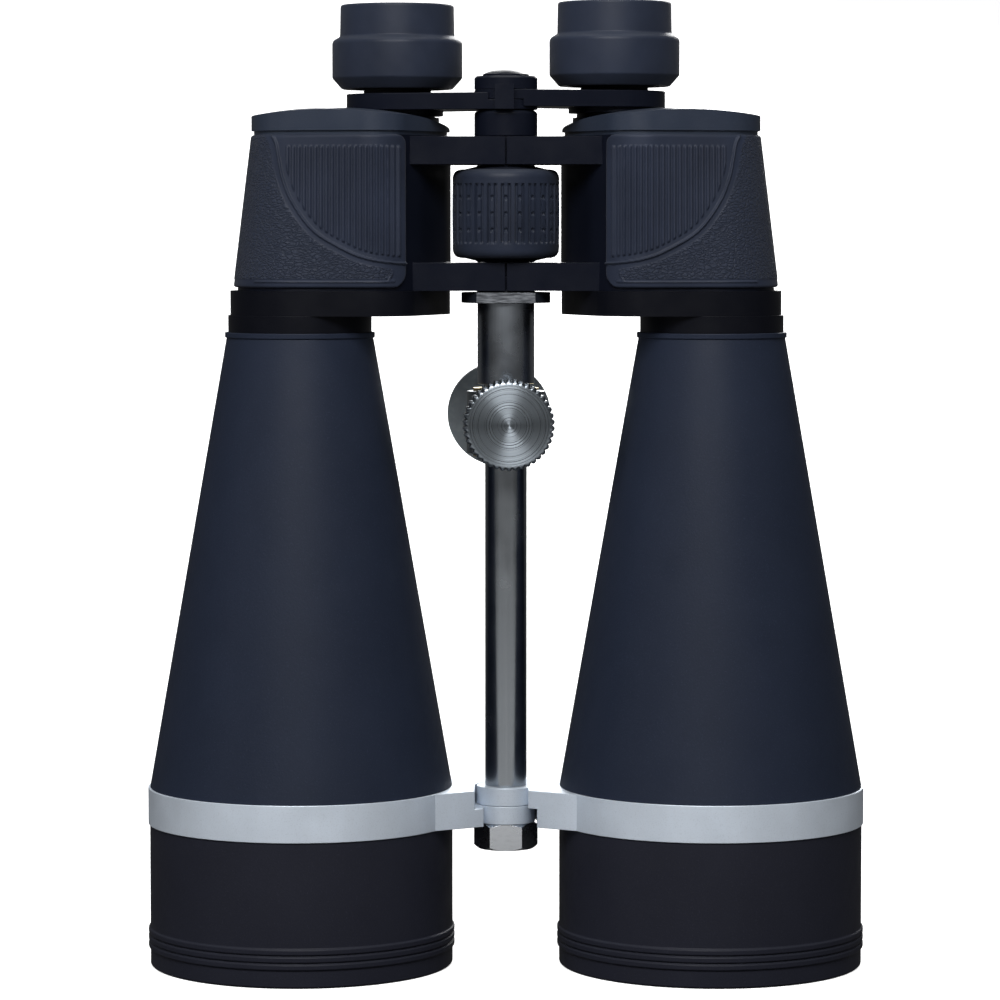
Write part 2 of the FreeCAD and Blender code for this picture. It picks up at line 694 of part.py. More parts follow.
# ---- Focus drive --------------------------------------------------------------------------
def focus_grip():
    inner = wheel_core_radius
    grip = turned([(inner, wheel_z), (wheel_radius - wheel_corner, wheel_z),
                   (wheel_radius, wheel_z + wheel_corner), (wheel_radius, wheel_top - wheel_corner),
                   (wheel_radius - wheel_corner, wheel_top), (inner, wheel_top)])
    groove_low = wheel_z + wheel_band_margin
    groove_high = wheel_top - wheel_band_margin
    cutters = []
    for i in range(wheel_grooves):
        groove = box((wheel_radius - wheel_groove_depth, -wheel_groove_width / 2, groove_low),
                     (wheel_radius + 1, wheel_groove_width / 2, groove_high))
        groove.rotate(Vec(0, 0, 0), Vec(0, 0, 1), 360 * i / wheel_grooves)
        cutters.append(groove)
    return grip.cut(Part.makeCompound(cutters))


def focus_core():
    low = lower_arm_z + arm_height + bearing_gap
    high = upper_arm_z - bearing_gap
    core = cylinder(wheel_core_radius, wheel_z, wheel_top).fuse(cylinder(wheel_neck, low, high))
    room_low = pin_z() - pin_radius - body_gap
    room_high = pin_z() + focus_travel + pin_radius + body_gap
    core = core.cut(cylinder(axle_radius + running_gap, low - 1, high + 1))
    return core.cut(cylinder(pin_room, room_low, room_high)).removeSplitter()


def focus_spindle():
    spindle = cylinder(axle_bore - running_gap, pin_z() - 3 * pin_radius, yoke_z)
    shoulder = collar_z + collar_height + bearing_gap / 2
    spindle = spindle.fuse(cylinder(yoke_pin, shoulder, yoke_top + cap_height / 2))
    hole = Part.makeCylinder(pin_radius, 4 * axle_bore, Vec(-2 * axle_bore, 0, pin_z()), Vec(1, 0, 0))
    return spindle.cut(hole).removeSplitter()


def bridge_cap():
    low = yoke_top + bearing_gap
    top = low + cap_height
    cap = turned([(0.0, low), (yoke_hub, low), (yoke_hub, top - cap_edge), (yoke_hub - cap_edge, top),
                  (0.0, top)])
    button_edge = top + cap_button_height - cap_button_dome
    button = lens(cap_button, top - cap_edge, button_edge, 0.0, cap_button_dome, (0.0, 0.0))
    outer = yoke_hub + body_gap + tab_thickness
    tab = box((-tab_left, -outer, yoke_z), (tab_right, -yoke_hub + tab_overlap, low + cap_height / 3))
    tab = tab.cut(cylinder(yoke_hub + body_gap, yoke_z - 1, low))
    hole = cylinder(yoke_pin, low - 1, yoke_top + cap_height / 2)
    return cap.fuse([button, tab]).cut(hole).removeSplitter()


def focus_nodes():
    nodes["focus_wheel_core"] = focus_core()
    nodes["focus_wheel_grip"] = focus_grip()
    nodes["focus_spindle"] = focus_spindle()
    nodes["drive_pin"] = Part.makeCylinder(pin_radius, 2 * pin_half_length,
                                           Vec(-pin_half_length, 0, pin_z()), Vec(1, 0, 0))
    nodes["bridge_cap"] = bridge_cap()


# ---- Tripod carriage: built along Y, then turned about the rod ----------------------------
def along_y(profile):
    """Solid of revolution about the carriage's cross axis, from (radius, y) points."""
    points = [Vec(radius, y, 0) for radius, y in profile]
    solid = Part.Face(Part.makePolygon(points + points[:1])).revolve(Vec(0, 0, 0), Vec(0, 1, 0), 360)
    solid.translate(Vec(0, 0, carriage_z))
    return solid


def carriage_block():
    low = carriage_z - carriage_half_height
    high = carriage_z + carriage_half_height
    block = cylinder(carriage_radius, low, high)
    boss = [(0.0, -knob_back()), (post_radius, -knob_back()), (post_radius, 0.0), (0.0, 0.0)]
    block = block.fuse(along_y(boss))
    block = block.cut(cylinder(bush_radius + running_gap, low - 1, high + 1))
    return block.cut(along_y([(0.0, -knob_face), (screw_radius + running_gap, -knob_face),
                              (screw_radius + running_gap, 0.0), (0.0, 0.0)])).removeSplitter()


def knob_back():
    """Distance of the knob's inner face from the rod axis."""
    return knob_face - knob_thickness - bearing_gap


def carriage_bush():
    low = carriage_z - carriage_half_height
    high = carriage_z + carriage_half_height
    flange = bush_radius + bush_flange
    top = bored(flange, bush_bore, high + bearing_gap, high + bearing_gap + bush_collar)
    bottom = bored(flange, bush_bore, low - bearing_gap - bush_collar, low - bearing_gap)
    bush = bored(bush_radius, bush_bore, low - bearing_gap, high + bearing_gap)
    return bush.fuse([top, bottom]).removeSplitter()


def tripod_post():
    post = along_y([(0.0, 0.0), (post_radius, 0.0), (post_radius, post_end), (0.0, post_end)])
    return post.cut(cylinder(carriage_radius, carriage_z - 2 * post_radius, carriage_z + 2 * post_radius))


def tripod_foot():
    mouth = foot_back - thread_depth
    return along_y([(0.0, post_end), (foot_radius, post_end), (foot_radius, foot_back - foot_corner),
                    (foot_radius - foot_corner, foot_back), (thread_radius, foot_back),
                    (thread_radius, mouth), (0.0, mouth)])


def clamp_knob():
    back = -knob_face + knob_thickness
    knob = along_y([(screw_radius, back), (knob_radius - knob_back_bevel, back),
                    (knob_radius, back - knob_back_bevel), (knob_radius, -knob_face + knob_front_bevel),
                    (knob_radius - knob_front_bevel, -knob_face),
                    (screw_radius + knob_dimple_width, -knob_face),
                    (screw_radius, -knob_face + knob_centre_dimple)])
    flutes = []
    for i in range(knob_flutes):
        angle = 2 * math.pi * i / knob_flutes
        centre = Vec(knob_radius * math.cos(angle), back + 1, carriage_z + knob_radius * math.sin(angle))
        flutes.append(Part.makeCylinder(flute_radius, knob_thickness + 2, centre, Vec(0, -1, 0)))
    return knob.cut(Part.makeCompound(flutes))


def clamp_screw():
    tip = -(bush_radius + bearing_gap)
    head = -knob_face + screw_sink
    return along_y([(0.0, tip), (screw_radius - screw_bevel, tip), (screw_radius, tip - screw_bevel),
                    (screw_radius, head + screw_bevel), (screw_radius - screw_bevel, head), (0.0, head)])


def carriage_nodes():
    pieces = {"carriage_bush": carriage_bush(), "carriage_block": carriage_block(),
              "tripod_post": tripod_post(), "tripod_foot": tripod_foot(),
              "clamp_knob": clamp_knob(), "clamp_screw": clamp_screw()}
    for name, shape in pieces.items():
        shape.rotate(Vec(0, 0, 0), Vec(0, 0, 1), carriage_yaw)
        nodes[name] = shape


for hand in ("left", "right"):
    objective_nodes(hand)
    housing_nodes(hand)
    eyepiece_nodes(hand)
column_nodes()
focus_nodes()
carriage_nodes()

for name, shape in nodes.items():
    placed = shape.copy()
    placed.translate(frame_shift)
    placed.exportStep("parts/" + name + ".step")
print(len(nodes), "nodes")
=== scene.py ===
"""Looks of the large-aperture binoculars: materials, moulded rubber, knurling, light and camera.

Metres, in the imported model's frame: +Z up, the hinge axis upright, the tripod foot towards +Y.
"""
import bpy
import json
import math
import numpy as np
from mathutils import Matrix, Vector

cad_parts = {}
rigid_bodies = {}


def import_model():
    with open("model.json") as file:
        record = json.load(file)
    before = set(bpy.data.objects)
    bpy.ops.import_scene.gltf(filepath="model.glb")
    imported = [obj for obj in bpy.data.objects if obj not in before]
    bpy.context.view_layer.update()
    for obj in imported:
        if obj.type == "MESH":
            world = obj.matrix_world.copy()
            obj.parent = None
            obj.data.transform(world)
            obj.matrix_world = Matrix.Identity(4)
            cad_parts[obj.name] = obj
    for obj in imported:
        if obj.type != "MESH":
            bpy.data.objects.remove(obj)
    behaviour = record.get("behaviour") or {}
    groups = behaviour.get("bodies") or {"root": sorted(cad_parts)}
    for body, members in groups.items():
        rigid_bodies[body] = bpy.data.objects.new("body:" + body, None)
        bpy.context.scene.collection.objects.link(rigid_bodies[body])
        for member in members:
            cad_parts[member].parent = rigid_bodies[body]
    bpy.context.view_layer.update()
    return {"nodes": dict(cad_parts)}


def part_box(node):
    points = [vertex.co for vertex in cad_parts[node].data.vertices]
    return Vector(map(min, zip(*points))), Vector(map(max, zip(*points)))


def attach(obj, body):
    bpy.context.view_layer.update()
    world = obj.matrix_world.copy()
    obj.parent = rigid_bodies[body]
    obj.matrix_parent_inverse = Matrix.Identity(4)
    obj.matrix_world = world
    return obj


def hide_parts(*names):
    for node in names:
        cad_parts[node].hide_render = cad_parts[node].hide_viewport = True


for leftover in list(bpy.data.objects):
    bpy.data.objects.remove(leftover)

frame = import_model()
nodes = frame["nodes"]
MM = 0.001

# ---- Places read from the frame -----------------------------------------------------------
wheel_low, wheel_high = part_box("focus_wheel_grip")
hinge = Vector(((wheel_low.x + wheel_high.x) / 2, (wheel_low.y + wheel_high.y) / 2, 0.0))
armour_low, armour_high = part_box("right_armour")
cell_low, cell_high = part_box("right_objective_cell")
cup_low, cup_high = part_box("right_eyecup")
barrel_axis = Vector(((cell_low.x + cell_high.x) / 2 - hinge.x, 0.0))
eye_axis = Vector(((cup_low.x + cup_high.x) / 2 - hinge.x, (cup_low.y + cup_high.y) / 2 - hinge.y))
half_way = (eye_axis - barrel_axis) / 2
fold_axis = barrel_axis + half_way + Vector((-half_way.y, half_way.x))

SIDES = (("left", -1), ("right", 1))


# ---- Shader helpers -----------------------------------------------------------------------
class Surface:
    """A Principled material whose colour, roughness and bump come from procedural nodes."""

    def __init__(self, name):
        self.material = bpy.data.materials.new(name)
        self.material.use_nodes = True
        self.tree = self.material.node_tree
        self.shader = self.tree.nodes["Principled BSDF"]
        self.coordinates = self.node("ShaderNodeTexCoord").outputs["Object"]
        self.height = None

    def node(self, kind, **settings):
        made = self.tree.nodes.new(kind)
        for key, value in settings.items():
            setattr(made, key, value)
        return made

    def link(self, source, target):
        self.tree.links.new(source, target)

    def set(self, **values):
        """Constants on the shader's own sockets, with _ for each space in a socket's name."""
        for key, value in values.items():
            self.shader.inputs[key.replace("_", " ")].default_value = value

    def stretched(self, scale):
        """The coordinates scaled by axis, so a texture on them runs in streaks."""
        mapping = self.node("ShaderNodeMapping")
        mapping.inputs["Scale"].default_value = scale
        self.link(self.coordinates, mapping.inputs["Vector"])
        return mapping.outputs["Vector"]

    def noise(self, scale, detail=2.0, vector=None, roughness=0.5):
        made = self.node("ShaderNodeTexNoise")
        made.inputs["Scale"].default_value = scale
        made.inputs["Detail"].default_value = detail
        made.inputs["Roughness"].default_value = roughness
        self.link(vector or self.coordinates, made.inputs["Vector"])
        return made.outputs["Fac"]

    def cells(self, scale):
        made = self.node("ShaderNodeTexVoronoi")
        made.inputs["Scale"].default_value = scale
        self.link(self.coordinates, made.inputs["Vector"])
        return made.outputs["Distance"]

    def spread(self, value, low, high, start=0.3, stop=0.7):
        """Maps start to low and stop to high, and holds those beyond them."""
        made = self.node("ShaderNodeMapRange")
        made.inputs["From Min"].default_value = start
        made.inputs["From Max"].default_value = stop
        made.inputs["To Min"].default_value = low
        made.inputs["To Max"].default_value = high
        self.link(value, made.inputs["Value"])
        return made.outputs["Result"]

    def ramp(self, value, *stops):
        """A colour that runs through the stops, each a place from 0 to 1 and a colour."""
        made = self.node("ShaderNodeValToRGB")
        ramp = made.color_ramp
        while len(ramp.elements) < len(stops):
            ramp.elements.new(0.5)
        for element, (place, colour) in zip(ramp.elements, stops):
            element.position = place
            element.color = (*colour, 1.0)
        self.link(value, made.inputs["Fac"])
        return made.outputs["Color"]

    def blend(self, share, first, second):
        """first where share is 0 and second, a colour or an output, where it is 1."""
        made = self.node("ShaderNodeMix", data_type="RGBA")
        self.link(share, made.inputs["Factor"])
        self.link(first, made.inputs["A"])
        if isinstance(second, tuple):
            made.inputs["B"].default_value = (*second, 1.0)
        else:
            self.link(second, made.inputs["B"])
        return made.outputs["Result"]

    def bump(self, height, depth, strength=1.0):
        """Adds relief of that depth, on top of any bump made before it."""
        made = self.node("ShaderNodeBump")
        made.inputs["Distance"].default_value = depth
        made.inputs["Strength"].default_value = strength
        self.link(height, made.inputs["Height"])
        if self.height:
            self.link(self.height, made.inputs["Normal"])
        self.height = made.outputs["Normal"]
        self.link(self.height, self.shader.inputs["Normal"])

    def colour(self, source):
        self.link(source, self.shader.inputs["Base Color"])

    def rough(self, source):
        self.link(source, self.shader.inputs["Roughness"])

    def facing_up(self, low, high):
        """Share of dust that settles on upward faces."""
        split = self.node("ShaderNodeSeparateXYZ")
        self.link(self.node("ShaderNodeNewGeometry").outputs["Normal"], split.inputs[0])
        return self.spread(split.outputs["Z"], low, high, 0.2, 1.0)


def scaled(colour, factor):
    return tuple(channel * factor for channel in colour)


DUST = (0.10, 0.11, 0.12)
MOTTLING = 0.06


def paint(name, colour, roughness, grain_scale, grain_depth, specular=0.15):
    """Sprayed finish on a casting: fine texture, pale specks, uneven gloss and a little dust."""
    made = Surface(name)
    made.set(Metallic=0.0, IOR=1.45, Specular_IOR_Level=specular)
    blotches = made.noise(45.0, 3.0)
    base = made.ramp(blotches, (0.3, scaled(colour, 1 - MOTTLING)),
                     (0.7, scaled(colour, 1 + MOTTLING)))
    specks = made.spread(made.noise(grain_scale * 1.7, 1.0), 0.0, 0.5, 0.6, 0.8)
    base = made.blend(specks, base, scaled(colour, 1.9))
    base = made.blend(made.facing_up(0.0, 0.05), base, DUST)
    made.colour(base)
    made.rough(made.spread(made.noise(120.0, 4.0), roughness - 0.06, roughness + 0.06))
    made.bump(made.noise(grain_scale, 2.0, roughness=0.6), grain_depth)
    return made.material


RUBBER_SHEEN = {"Metallic": 0.0, "IOR": 1.48, "Specular_IOR_Level": 0.18, "Sheen_Weight": 0.04,
                "Sheen_Roughness": 0.5}


def rubber(name, colour, roughness, pebble_scale, pebble_depth):
    """Moulded rubber: fine pebble, slight bloom and dust."""
    made = Surface(name)
    made.set(**RUBBER_SHEEN)
    bloom = made.noise(60.0, 4.0)
    base = made.ramp(bloom, (0.28, scaled(colour, 0.82)), (0.72, scaled(colour, 1.2)))
    base = made.blend(made.facing_up(0.0, 0.08), base, DUST)
    made.colour(base)
    made.rough(made.spread(made.noise(260.0, 3.0), roughness - 0.07, roughness + 0.07))
    made.bump(made.cells(pebble_scale), pebble_depth, 0.7)
    made.bump(made.noise(pebble_scale * 3.0, 2.0), pebble_depth * 0.4)
    return made.material


def metal(name, colour, roughness, streaks, bump_depth, tint=(0.5, 0.52, 0.55), specks=0.0,
          metallic=1.0):
    """Machined or polished metal: streaks scaled by axis, faint smudges and fine scratches."""
    made = Surface(name)
    made.set(Metallic=metallic)
    smudge = made.noise(90.0, 4.0)
    base = made.ramp(smudge, (0.3, scaled(colour, 0.9)), (0.7, colour))
    lines = made.noise(1.0, 3.0, made.stretched(streaks))
    base = made.blend(made.spread(lines, 0.0, 0.25, 0.45, 0.75), base, tint)
    if specks:
        pits = made.spread(made.noise(2400.0, 1.0), 0.0, specks, 0.55, 0.75)
        base = made.blend(pits, base, scaled(colour, 0.6))
    made.colour(base)
    made.rough(made.spread(smudge, roughness - 0.05, roughness + 0.07))
    made.bump(lines, bump_depth)
    return made.material


def turned_metal(name, colour, roughness, centre, axis, ring_scale):
    """Lathe-faced metal: concentric tool marks about an axis, which spread the light radially."""
    made = Surface(name)
    made.set(Metallic=1.0, Anisotropic=0.85)
    offset = made.node("ShaderNodeVectorMath", operation="SUBTRACT")
    offset.inputs[1].default_value = centre
    made.link(made.coordinates, offset.inputs[0])
    around = made.node("ShaderNodeVectorMath", operation="CROSS_PRODUCT")
    made.link(offset.outputs[0], around.inputs[0])
    around.inputs[1].default_value = axis
    radius = made.node("ShaderNodeVectorMath", operation="LENGTH")
    made.link(around.outputs[0], radius.inputs[0])
    unit = made.node("ShaderNodeVectorMath", operation="NORMALIZE")
    made.link(around.outputs[0], unit.inputs[0])
    outwards = made.node("ShaderNodeVectorMath", operation="CROSS_PRODUCT")
    outwards.inputs[0].default_value = axis
    made.link(unit.outputs[0], outwards.inputs[1])
    made.link(outwards.outputs[0], made.shader.inputs["Tangent"])
    rings = made.node("ShaderNodeTexNoise", noise_dimensions="1D")
    rings.inputs["Scale"].default_value = ring_scale
    rings.inputs["Detail"].default_value = 4.0
    made.link(radius.outputs["Value"], rings.inputs["W"])
    base = made.ramp(rings.outputs["Fac"], (0.3, scaled(colour, 0.8)), (0.7, scaled(colour, 1.1)))
    made.colour(base)
    made.rough(made.spread(rings.outputs["Fac"], roughness - 0.06, roughness + 0.08))
    made.bump(rings.outputs["Fac"], 0.02 * MM)
    return made.material


def glass(name, tint, film):
    """Clear glass with faint smears and, where film is above 0, a coating that many nm thick."""
    made = Surface(name)
    made.set(Transmission_Weight=1.0, IOR=1.52, Thin_Film_Thickness=film, Thin_Film_IOR=1.38)
    made.colour(made.ramp(made.noise(30.0), (0.2, scaled(tint, 0.94)), (0.8, tint)))
    made.rough(made.spread(made.noise(80.0, 5.0), 0.0, 0.03, 0.45, 0.8))
    return made.material


# ---- Mesh helpers -------------------------------------------------------------------------
def tidy_shading():
    """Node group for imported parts: joins split vertices, smooths, and keeps real edges sharp."""
    group = bpy.data.node_groups.new("tidy_shading", "GeometryNodeTree")
    group.interface.new_socket("Geometry", in_out="INPUT", socket_type="NodeSocketGeometry")
    group.interface.new_socket("Geometry", in_out="OUTPUT", socket_type="NodeSocketGeometry")
    start = group.nodes.new("NodeGroupInput")
    merge = group.nodes.new("GeometryNodeMergeByDistance")
    merge.inputs["Distance"].default_value = 0.002 * MM
    forget = group.nodes.new("GeometryNodeRemoveAttribute")
    forget.inputs["Name"].default_value = "custom_normal"
    smooth = group.nodes.new("GeometryNodeSetShadeSmooth")
    angle = group.nodes.new("GeometryNodeInputMeshEdgeAngle")
    steep = group.nodes.new("FunctionNodeCompare")
    steep.inputs["B"].default_value = math.radians(28)
    sharp = group.nodes.new("GeometryNodeSetShadeSmooth")
    sharp.domain = "EDGE"
    sharp.inputs["Shade Smooth"].default_value = False
    end = group.nodes.new("NodeGroupOutput")
    link = group.links.new
    link(start.outputs[0], merge.inputs["Geometry"])
    link(merge.outputs[0], forget.inputs["Geometry"])
    link(forget.outputs[0], smooth.inputs["Geometry"])
    link(smooth.outputs[0], sharp.inputs["Geometry"])
    link(angle.outputs["Unsigned Angle"], steep.inputs["A"])
    link(steep.outputs["Result"], sharp.inputs["Selection"])
    link(sharp.outputs[0], end.inputs[0])
    return group


SHADING = tidy_shading()


def soften(obj, width):
    """Small rounded edges that catch the light."""
    bevel = obj.modifiers.new("edges", "BEVEL")
    bevel.width = width
    bevel.segments = 3
    bevel.limit_method = "ANGLE"
    bevel.angle_limit = math.radians(30)
    bevel.harden_normals = True


def finish_node(name, material, edge):
    """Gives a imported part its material, clean shading and, unless edge is 0, rounded edges."""
    obj = nodes[name]
    obj.modifiers.new("shading", "NODES").node_group = SHADING
    if edge:
        soften(obj, edge)
    for slot in obj.material_slots:
        slot.material = material


def add_mesh(name, points, faces, material, body, slot, *replaced):
    """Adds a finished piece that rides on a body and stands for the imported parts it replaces."""
    mesh = bpy.data.meshes.new(name)
    mesh.from_pydata(points, [], faces)
    mesh.validate()
    mesh.polygons.foreach_set("use_smooth", [True] * len(mesh.polygons))
    mesh.materials.append(material)
    mesh.set_sharp_from_angle(angle=math.radians(50))
    obj = bpy.data.objects.new(name, mesh)
    bpy.context.scene.collection.objects.link(obj)
    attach(obj, body)
    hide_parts(*replaced)
    return obj


def rounded(profile, radius, parts=4):
    """Closed profile with each corner eased by a short curve."""
    made = []
    count = len(profile)
    for i in range(count):
        before, corner, after = (Vector(profile[j % count]) for j in (i - 1, i, i + 1))
        back, on = before - corner, after - corner
        reach = min(radius, back.length / 2, on.length / 2)
        first, last = corner + back.normalized() * reach, corner + on.normalized() * reach
        for k in range(parts + 1):
            t = k / parts
            made.append((1 - t) ** 2 * first + 2 * t * (1 - t) * corner + t ** 2 * last)
    return made


def ring_mesh(profile, steps, place, shape=None):
    """Points and faces of a closed profile of (radius, height) turned through a full circle."""
    rows = len(profile)
    points = []
    for i in range(steps):
        angle = 2 * math.pi * i / steps
        for radius, height in profile:
            if shape:
                radius = shape(angle, radius, height)
            across, along = radius * math.cos(angle), radius * math.sin(angle)
            points.append(place @ Vector((across, along, height)))
    faces = []
    for i in range(steps):
        near, far = i * rows, (i + 1) % steps * rows
        for j in range(rows):
            k = (j + 1) % rows
            faces.append((near + j, far + j, far + k, near + k))
    return points, faces


def smoothstep(low, high, value):
    """0 up to low, 1 from high, and a smooth rise between them."""
    t = min(1.0, max(0.0, (value - low) / (high - low)))
    return t * t * (3 - 2 * t)


def ease(low, high, value):
    """smoothstep for arrays."""
    t = np.clip((value - low) / (high - low), 0, 1)
    return t * t * (3 - 2 * t)


# ---- Materials ----------------------------------------------------------------------------
barrel_paint = paint("barrel_paint", (0.0135, 0.0182, 0.0325), 0.50, 1500.0, 0.035 * MM)
cell_paint = paint("cell_paint", (0.0145, 0.0155, 0.0235), 0.48, 1500.0, 0.035 * MM)
housing_paint = paint("housing_paint", (0.0030, 0.0034, 0.0058), 0.38, 1900.0, 0.02 * MM)
cover_paint = paint("cover_paint", (0.0215, 0.0285, 0.0455), 0.36, 1900.0, 0.02 * MM, specular=0.4)
hinge_paint = paint("hinge_paint", (0.0046, 0.0058, 0.0112), 0.34, 2200.0, 0.015 * MM)
armour_rubber = rubber("armour_rubber", (0.0160, 0.0210, 0.0370), 0.50, 2600.0, 0.02 * MM)
eyecup_rubber = rubber("eyecup_rubber", (0.0165, 0.0215, 0.0370), 0.46, 2400.0, 0.015 * MM)
wheel_rubber = rubber("wheel_rubber", (0.0140, 0.0185, 0.0325), 0.46, 2400.0, 0.015 * MM)
brace_metal = metal("brace_metal", (0.66, 0.73, 0.82), 0.42, (900.0, 900.0, 60.0), 0.012 * MM,
                    tint=(0.62, 0.67, 0.74), specks=0.25, metallic=0.4)
rod_metal = metal("rod_metal", (0.40, 0.43, 0.46), 0.22, (1600.0, 1600.0, 6.0), 0.008 * MM)
sleeve_metal = metal("sleeve_metal", (0.36, 0.39, 0.43), 0.26, (1400.0, 1400.0, 10.0), 0.010 * MM)
nut_metal = metal("nut_metal", (0.86, 0.89, 0.93), 0.26, (400.0, 400.0, 900.0), 0.010 * MM)
foot_metal = metal("foot_metal", (0.30, 0.335, 0.36), 0.36, (500.0, 500.0, 500.0), 0.015 * MM)
bush_brass = metal("bush_brass", (0.55, 0.42, 0.20), 0.30, (300.0, 300.0, 900.0), 0.010 * MM,
                   tint=(0.62, 0.5, 0.28))
spring_steel = metal("spring_steel", (0.45, 0.47, 0.5), 0.3, (400.0, 900.0, 400.0), 0.010 * MM)
FLANGE_FLAT = 10.3 * MM         # hinge axis to the wrench flat


def flange_nut_finish():
    """Black nut whose wrench flat, towards the front, is bare steel."""
    made = Surface("nut_black")
    made.set(IOR=1.45)
    split = made.node("ShaderNodeSeparateXYZ")
    made.link(made.coordinates, split.inputs[0])
    flat_y = hinge.y - FLANGE_FLAT
    flat = made.spread(split.outputs["Y"], 1.0, 0.0, flat_y + 0.03 * MM, flat_y + 0.1 * MM)
    lines = made.noise(1.0, 3.0, made.stretched((300.0, 300.0, 2600.0)))
    base = made.ramp(made.noise(90.0, 3.0), (0.3, (0.007, 0.009, 0.013)),
                     (0.7, (0.010, 0.012, 0.017)))
    steel = made.ramp(lines, (0.35, (0.16, 0.17, 0.19)), (0.65, (0.34, 0.36, 0.39)))
    made.colour(made.blend(flat, base, steel))
    made.link(flat, made.shader.inputs["Metallic"])
    made.rough(made.spread(lines, 0.30, 0.42))
    made.bump(lines, 0.01 * MM)
    return made.material


nut_black = flange_nut_finish()
inner_black = paint("inner_black", (0.0080, 0.0082, 0.0090), 0.75, 1200.0, 0.04 * MM)
coated_glass = glass("coated_glass", (0.98, 0.96, 0.93), 420.0)
prism_glass = glass("prism_glass", (0.97, 0.99, 0.97), 0.0)


def leather():
    """Embossed leather grain: flattened lumps parted by wrinkles that run diagonally, with painted
    shade darkening the wrinkles.
    """
    made = Surface("armour_leather")
    made.set(**RUBBER_SHEEN)
    warped = made.node("ShaderNodeVectorMath", operation="MULTIPLY_ADD")
    drift = made.node("ShaderNodeTexNoise")
    drift.inputs["Scale"].default_value = 520.0
    drift.inputs["Detail"].default_value = 3.0
    made.link(made.coordinates, drift.inputs["Vector"])
    made.link(drift.outputs["Color"], warped.inputs[0])
    warped.inputs[1].default_value = (0.0016, 0.0016, 0.0016)
    made.link(made.coordinates, warped.inputs[2])
    turned = made.node("ShaderNodeMapping")
    turned.inputs["Rotation"].default_value = (0.0, math.radians(32), 0.0)
    turned.inputs["Scale"].default_value = (0.55, 1.0, 1.25)
    made.link(warped.outputs[0], turned.inputs["Vector"])
    lumps = made.node("ShaderNodeTexVoronoi", feature="DISTANCE_TO_EDGE")
    lumps.inputs["Scale"].default_value = 950.0
    made.link(turned.outputs["Vector"], lumps.inputs["Vector"])
    wrinkle = made.spread(lumps.outputs["Distance"], 0.0, 1.0, 0.0, 0.22)
    # Painted shade: the colour ramp darkens the wrinkles and leaves the lumps paler, as if shade
    # lay in the creases.
    base = made.ramp(wrinkle, (0.0, (0.0130, 0.0170, 0.0290)), (1.0, (0.0190, 0.0245, 0.0420)))
    base = made.blend(made.spread(made.noise(50.0, 3.0), 0.0, 0.25), base, (0.022, 0.028, 0.044))
    made.colour(base)
    made.rough(made.spread(wrinkle, 0.66, 0.50, 0.0, 1.0))
    made.bump(wrinkle, 0.19 * MM)
    made.bump(made.noise(3600.0, 2.0), 0.03 * MM)
    return made.material


armour_leather = leather()


# ---- Moulded rubber skin of the prism housings --------------------------------------------
HOUSING_LOW, HOUSING_HIGH = (corner.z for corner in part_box("right_prism_housing"))
# Radii of the housing's outline round its three axes; the first two narrow from low to high.
BARREL_RADII, FOLD_RADII, EYE_RADIUS = (19.0 * MM, 13.2 * MM), (13.0 * MM, 11.8 * MM), 16.4 * MM
ARC_POINTS = 64
SKIN = 2.0 * MM
SKIN_ALLOWANCE = 0.05 * MM      # skin's back face, off the housing
RELIEF = 0.75 * MM              # depth of the moulded pattern
GROUND = 0.12                   # height of the plain rubber, as a share of the relief
LOW_CORNER, HIGH_CORNER = 4.7 * MM, 3.0 * MM
EDGE_WIDTH, EDGE_DROP = 0.9 * MM, 0.75 * MM
FLAT_REACH, CORNER_REACH = 70 * MM, 40 * MM
SKIN_ROWS, SIDE_COLUMNS, COLUMNS_PER_RIB = 156, 96, 10
EDGE_ROWS, EDGE_STEP, MIDDLE_STEP = 18, 3, 24
# The pattern is drawn in mm, as distance from the hinge axis and height.
SWOOSH = ((71.4, 255.0), (69.6, 251.6), (68.6, 246.5), (67.4, 241.0), (64.3, 233.6), (57.7, 225.0),
          (47.8, 219.1), (41.1, 216.7), (34.5, 215.7), (29.0, 215.3))
HEM = ((76.0, 209.9), (36.6, 209.9), (35.0, 210.5), (33.9, 212.4))
RIB_FIRST, RIB_PITCH, RIB_COUNT, RIB_TOP = 31.9, 1.7, 21, 250.9


def outline_walk(z, offset):
    """Dense walk round the housing's outline, from its inner front over the outer side to the back.

    The outline is a band stretched round three circles: objective, eyepiece and the fold between.
    """
    t = (z - HOUSING_LOW) / (HOUSING_HIGH - HOUSING_LOW)
    barrel = BARREL_RADII[0] + (BARREL_RADII[1] - BARREL_RADII[0]) * t + offset
    fold = FOLD_RADII[0] + (FOLD_RADII[1] - FOLD_RADII[0]) * t + offset
    circles = ((barrel_axis, barrel), (eye_axis, EYE_RADIUS + offset), (fold_axis, fold))
    leaving = []
    for i in range(3):
        (a, ra), (b, rb) = circles[i], circles[(i + 1) % 3]
        along = b - a
        leaving.append(math.atan2(along.y, along.x) - math.acos((ra - rb) / along.length))
    walk, normals = [], []
    for i in (2, 0, 1):
        centre, radius = circles[i]
        first, last = leaving[i - 1], leaving[i]
        while last < first:
            last += 2 * math.pi
        for angle in np.linspace(first, last, ARC_POINTS):
            normal = Vector((math.cos(angle), math.sin(angle)))
            walk.append(centre + normal * float(radius))
            normals.append(normal)
    return np.array(walk), np.array(normals)


